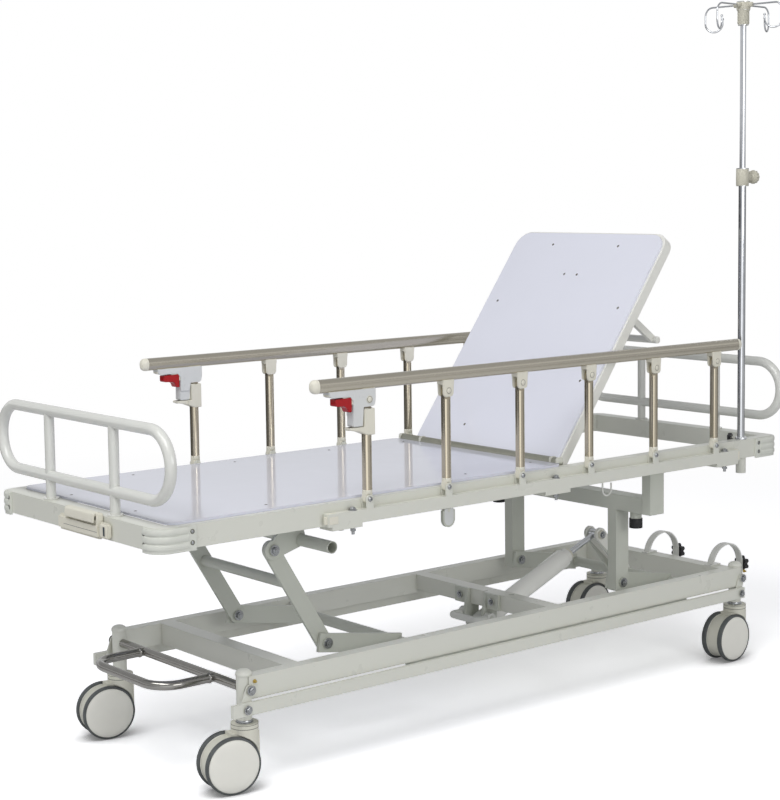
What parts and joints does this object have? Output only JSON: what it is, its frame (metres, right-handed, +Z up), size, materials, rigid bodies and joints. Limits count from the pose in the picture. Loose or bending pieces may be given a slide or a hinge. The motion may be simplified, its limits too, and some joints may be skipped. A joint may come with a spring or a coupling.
{
  "type": "hydraulic stretcher",
  "caption": "Wheeled patient stretcher with a hydraulic crank lift, hinged backrest, folding side guards, end hoops, telescoping drip pole and central brake.",
  "frame": {"origin": "middle of the footprint, on the floor", "axes": "+X toward the head end, +Y toward the far side guard, +Z up"},
  "size_m": [1.9665, 0.8025, 1.738],
  "materials": {
    "frame_paint": "satin powder coat",
    "board": "satin",
    "cream_plastic": "satin",
    "champagne": "brushed anodised",
    "bright": "polished",
    "tyre": "matte",
    "black": "satin",
    "rubber": "matte",
    "red": "gloss"
  },
  "bodies": {
    "chassis": {"base_frame": "frame_paint", "ram_bracket": "frame_paint", "bottle_straps": "frame_paint"},
    "bottle_knob_a": {"bottle_knob_a": "black"},
    "bottle_knob_b": {"bottle_knob_b": "black"},
    "head_crank": {"head_crank": "frame_paint"},
    "foot_crank": {"foot_crank": "frame_paint"},
    "foot_legs": {"foot_legs": "frame_paint"},
    "sync_link": {"sync_link": "frame_paint"},
    "ram_barrel": {"ram_barrel": "frame_paint"},
    "ram_rod": {"ram_rod": "bright"},
    "pump_pedal": {"pump_pedal": "frame_paint"},
    "bed": {"bed_frame": "frame_paint", "lift_beam": "frame_paint", "foot_bracket": "frame_paint", "buffers": "rubber", "bumpers": "board", "deck_board": "board", "hoop_foot": "frame_paint", "hoop_head": "frame_paint", "drain_hook": "bright", "pole_socket": "bright", "end_latch": "cream_plastic", "guard_beam_near": "frame_paint", "guard_beam_far": "frame_paint"},
    "caster_nf": {"caster_nf": "cream_plastic"},
    "wheel_nf": {"wheel_nf": "tyre"},
    "caster_nh": {"caster_nh": "cream_plastic"},
    "wheel_nh": {"wheel_nh": "tyre"},
    "caster_ff": {"caster_ff": "cream_plastic"},
    "wheel_ff": {"wheel_ff": "tyre"},
    "caster_fh": {"caster_fh": "cream_plastic"},
    "wheel_fh": {"wheel_fh": "tyre"},
    "brake_foot": {"brake_foot": "bright"},
    "brake_head": {"brake_head": "bright"},
    "brake_link_near": {"brake_link_near": "frame_paint"},
    "brake_link_far": {"brake_link_far": "frame_paint"},
    "backrest": {"backrest_board": "board", "backrest_frame": "frame_paint"},
    "paddle_lever": {"paddle_lever": "board"},
    "pole_lower": {"pole_lower": "bright"},
    "pole_upper": {"pole_upper": "bright"},
    "pole_knob": {"pole_knob": "cream_plastic"},
    "end_latch_lever": {"end_latch_lever": "cream_plastic"},
    "post_near_1": {"post_near_1": "champagne"},
    "post_near_2": {"post_near_2": "champagne"},
    "post_near_3": {"post_near_3": "champagne"},
    "post_near_4": {"post_near_4": "champagne"},
    "post_near_5": {"post_near_5": "champagne"},
    "post_near_6": {"post_near_6": "champagne"},
    "rail_near": {"rail_near": "champagne"},
    "latch_near": {"latch_near": "red"},
    "post_far_1": {"post_far_1": "champagne"},
    "post_far_2": {"post_far_2": "champagne"},
    "post_far_3": {"post_far_3": "champagne"},
    "post_far_4": {"post_far_4": "champagne"},
    "post_far_5": {"post_far_5": "champagne"},
    "post_far_6": {"post_far_6": "champagne"},
    "rail_far": {"rail_far": "champagne"},
    "latch_far": {"latch_far": "red"}
  },
  "joints": [
    {"name": "lift", "type": "hinge", "parent": "chassis", "child": "head_crank", "pos_m": [0.719, 0.03228, 0.219], "axis": [0, 1, 0], "range_deg": [-42, 45]},
    {"name": "bed_level", "type": "hinge", "parent": "head_crank", "child": "bed", "pos_m": [0.503, 0.03228, 0.25515], "axis": [0, 1, 0], "range_deg": [-45, 42]},
    {"name": "foot_crank_turn", "type": "hinge", "parent": "chassis", "child": "foot_crank", "pos_m": [-0.218, 0.03228, 0.219], "axis": [0, 1, 0], "range_deg": [-42, 45]},
    {"name": "foot_leg_turn", "type": "hinge", "parent": "foot_crank", "child": "foot_legs", "pos_m": [-0.434, 0.03228, 0.25515], "axis": [0, 1, 0], "range_deg": [-45, 42]},
    {"name": "sync_turn", "type": "hinge", "parent": "head_crank", "child": "sync_link", "pos_m": [0.719, 0.03228, 0.174], "axis": [0, 1, 0], "range_deg": [-45, 42]},
    {"name": "ram_turn", "type": "hinge", "parent": "head_crank", "child": "ram_rod", "pos_m": [0.61707, 0.03228, 0.33709], "axis": [0, 1, 0], "range_deg": [-50, 47]},
    {"name": "ram_stroke", "type": "slide", "parent": "ram_rod", "child": "ram_barrel", "axis": [-0.9233, 0, -0.3841], "range_m": [-0.096, 0.103]},
    {"name": "pump", "type": "hinge", "parent": "chassis", "child": "pump_pedal", "pos_m": [0.187, 0.03228, 0.184], "axis": [0, 1, 0], "range_deg": [-25, 0], "stiffness_Nm_per_rad": 6, "springref_deg": 5.73},
    {"name": "swivel_nf", "type": "hinge", "parent": "chassis", "child": "caster_nf", "pos_m": [-0.711, -0.22472, 0.15], "axis": [0, 0, 1], "continuous": true},
    {"name": "spin_nf", "type": "hinge", "parent": "caster_nf", "child": "wheel_nf", "pos_m": [-0.74817, -0.21682, 0.0625], "axis": [-0.2079, -0.9781, 0], "continuous": true},
    {"name": "swivel_nh", "type": "hinge", "parent": "chassis", "child": "caster_nh", "pos_m": [0.889, -0.22472, 0.15], "axis": [0, 0, 1], "continuous": true},
    {"name": "spin_nh", "type": "hinge", "parent": "caster_nh", "child": "wheel_nh", "pos_m": [0.85102, -0.22605, 0.0625], "axis": [0.0349, -0.9994, 0], "continuous": true},
    {"name": "swivel_ff", "type": "hinge", "parent": "chassis", "child": "caster_ff", "pos_m": [-0.711, 0.28928, 0.15], "axis": [0, 0, 1], "continuous": true},
    {"name": "spin_ff", "type": "hinge", "parent": "caster_ff", "child": "wheel_ff", "pos_m": [-0.74817, 0.29718, 0.0625], "axis": [-0.2079, -0.9781, 0], "continuous": true},
    {"name": "swivel_fh", "type": "hinge", "parent": "chassis", "child": "caster_fh", "pos_m": [0.889, 0.28928, 0.15], "axis": [0, 0, 1], "continuous": true},
    {"name": "spin_fh", "type": "hinge", "parent": "caster_fh", "child": "wheel_fh", "pos_m": [0.85102, 0.28795, 0.0625], "axis": [0.0349, -0.9994, 0], "continuous": true},
    {"name": "brake", "type": "hinge", "parent": "chassis", "child": "brake_foot", "pos_m": [-0.711, 0.03228, 0.22], "axis": [0, 1, 0], "range_deg": [-17, 17]},
    {"name": "brake_head_turn", "type": "hinge", "parent": "chassis", "child": "brake_head", "pos_m": [0.889, 0.03228, 0.22], "axis": [0, 1, 0], "range_deg": [-17, 17]},
    {"name": "brake_link_near_turn", "type": "hinge", "parent": "brake_foot", "child": "brake_link_near", "pos_m": [-0.726, -0.25447, 0.182], "axis": [0, 1, 0], "range_deg": [-17, 17]},
    {"name": "brake_link_far_turn", "type": "hinge", "parent": "brake_foot", "child": "brake_link_far", "pos_m": [-0.726, 0.31903, 0.182], "axis": [0, 1, 0], "range_deg": [-17, 17]},
    {"name": "knob_a_turn", "type": "hinge", "parent": "chassis", "child": "bottle_knob_a", "pos_m": [0.969, -0.17572, 0.236], "axis": [1, 0, 0], "continuous": true},
    {"name": "knob_b_turn", "type": "hinge", "parent": "chassis", "child": "bottle_knob_b", "pos_m": [0.969, 0.05428, 0.236], "axis": [1, 0, 0], "continuous": true},
    {"name": "backrest_tilt", "type": "hinge", "parent": "bed", "child": "backrest", "pos_m": [0.22, 0.03228, 0.593], "axis": [0, -1, 0], "range_deg": [-53.8, 21.2]},
    {"name": "paddle", "type": "hinge", "parent": "bed", "child": "paddle_lever", "pos_m": [-0.188, -0.28972, 0.546], "axis": [0, 1, 0], "range_deg": [0, 22], "stiffness_Nm_per_rad": 0.6},
    {"name": "pole_turn", "type": "hinge", "parent": "bed", "child": "pole_lower", "pos_m": [0.841, -0.28272, 0.6], "axis": [0, 0, 1], "continuous": true},
    {"name": "pole_slide", "type": "slide", "parent": "pole_lower", "child": "pole_upper", "axis": [0, 0, 1], "range_m": [-0.36, 0.25]},
    {"name": "pole_knob_turn", "type": "hinge", "parent": "pole_lower", "child": "pole_knob", "pos_m": [0.841, -0.28272, 1.289], "axis": [1, 0, 0], "continuous": true},
    {"name": "end_latch_flip", "type": "hinge", "parent": "bed", "child": "end_latch_lever", "pos_m": [-0.968, 0.03228, 0.605], "axis": [0, 1, 0], "range_deg": [0, 70]},
    {"name": "fold_near", "type": "hinge", "parent": "bed", "child": "post_near_1", "pos_m": [-0.434, -0.30792, 0.6045], "axis": [0, -1, 0], "range_deg": [0, 80]},
    {"name": "fold_near_2", "type": "hinge", "parent": "bed", "child": "post_near_2", "pos_m": [-0.2065, -0.30792, 0.6045], "axis": [0, -1, 0], "range_deg": [0, 80]},
    {"name": "fold_near_3", "type": "hinge", "parent": "bed", "child": "post_near_3", "pos_m": [0.021, -0.30792, 0.6045], "axis": [0, -1, 0], "range_deg": [0, 80]},
    {"name": "fold_near_4", "type": "hinge", "parent": "bed", "child": "post_near_4", "pos_m": [0.2485, -0.30792, 0.6045], "axis": [0, -1, 0], "range_deg": [0, 80]},
    {"name": "fold_near_5", "type": "hinge", "parent": "bed", "child": "post_near_5", "pos_m": [0.476, -0.30792, 0.6045], "axis": [0, -1, 0], "range_deg": [0, 80]},
    {"name": "fold_near_6", "type": "hinge", "parent": "bed", "child": "post_near_6", "pos_m": [0.7035, -0.30792, 0.6045], "axis": [0, -1, 0], "range_deg": [0, 80]},
    {"name": "rail_near_level", "type": "hinge", "parent": "post_near_1", "child": "rail_near", "pos_m": [-0.434, -0.30792, 0.823], "axis": [0, -1, 0], "range_deg": [-80, 0]},
    {"name": "latch_near_squeeze", "type": "hinge", "parent": "rail_near", "child": "latch_near", "pos_m": [-0.489, -0.30792, 0.819], "axis": [0, 1, 0], "range_deg": [0, 10], "stiffness_Nm_per_rad": 0.6},
    {"name": "fold_far", "type": "hinge", "parent": "bed", "child": "post_far_1", "pos_m": [-0.434, 0.37248, 0.6045], "axis": [0, -1, 0], "range_deg": [0, 80]},
    {"name": "fold_far_2", "type": "hinge", "parent": "bed", "child": "post_far_2", "pos_m": [-0.2065, 0.37248, 0.6045], "axis": [0, -1, 0], "range_deg": [0, 80]},
    {"name": "fold_far_3", "type": "hinge", "parent": "bed", "child": "post_far_3", "pos_m": [0.021, 0.37248, 0.6045], "axis": [0, -1, 0], "range_deg": [0, 80]},
    {"name": "fold_far_4", "type": "hinge", "parent": "bed", "child": "post_far_4", "pos_m": [0.2485, 0.37248, 0.6045], "axis": [0, -1, 0], "range_deg": [0, 80]},
    {"name": "fold_far_5", "type": "hinge", "parent": "bed", "child": "post_far_5", "pos_m": [0.476, 0.37248, 0.6045], "axis": [0, -1, 0], "range_deg": [0, 80]},
    {"name": "fold_far_6", "type": "hinge", "parent": "bed", "child": "post_far_6", "pos_m": [0.7035, 0.37248, 0.6045], "axis": [0, -1, 0], "range_deg": [0, 80]},
    {"name": "rail_far_level", "type": "hinge", "parent": "post_far_1", "child": "rail_far", "pos_m": [-0.434, 0.37248, 0.823], "axis": [0, -1, 0], "range_deg": [-80, 0]},
    {"name": "latch_far_squeeze", "type": "hinge", "parent": "rail_far", "child": "latch_far", "pos_m": [-0.489, 0.37248, 0.819], "axis": [0, 1, 0], "range_deg": [0, 10], "stiffness_Nm_per_rad": 0.6}
  ],
  "couplings": [
    {"joint": "bed_level", "follows": "lift", "ratio": -1},
    {"joint": "foot_crank_turn", "follows": "lift", "ratio": 1},
    {"joint": "foot_leg_turn", "follows": "lift", "ratio": -1},
    {"joint": "sync_turn", "follows": "lift", "ratio": -1},
    {"joint": "ram_turn", "follows": "lift", "ratio": -1.1},
    {"joint": "ram_stroke", "follows": "lift", "m_per_rad": 0.13},
    {"joint": "brake_head_turn", "follows": "brake", "ratio": 1},
    {"joint": "brake_link_near_turn", "follows": "brake", "ratio": -1},
    {"joint": "brake_link_far_turn", "follows": "brake", "ratio": -1},
    {"joint": "fold_near_2", "follows": "fold_near", "ratio": 1},
    {"joint": "fold_near_3", "follows": "fold_near", "ratio": 1},
    {"joint": "fold_near_4", "follows": "fold_near", "ratio": 1},
    {"joint": "fold_near_5", "follows": "fold_near", "ratio": 1},
    {"joint": "fold_near_6", "follows": "fold_near", "ratio": 1},
    {"joint": "rail_near_level", "follows": "fold_near", "ratio": -1},
    {"joint": "fold_far_2", "follows": "fold_far", "ratio": 1},
    {"joint": "fold_far_3", "follows": "fold_far", "ratio": 1},
    {"joint": "fold_far_4", "follows": "fold_far", "ratio": 1},
    {"joint": "fold_far_5", "follows": "fold_far", "ratio": 1},
    {"joint": "fold_far_6", "follows": "fold_far", "ratio": 1},
    {"joint": "rail_far_level", "follows": "fold_far", "ratio": -1}
  ]
}
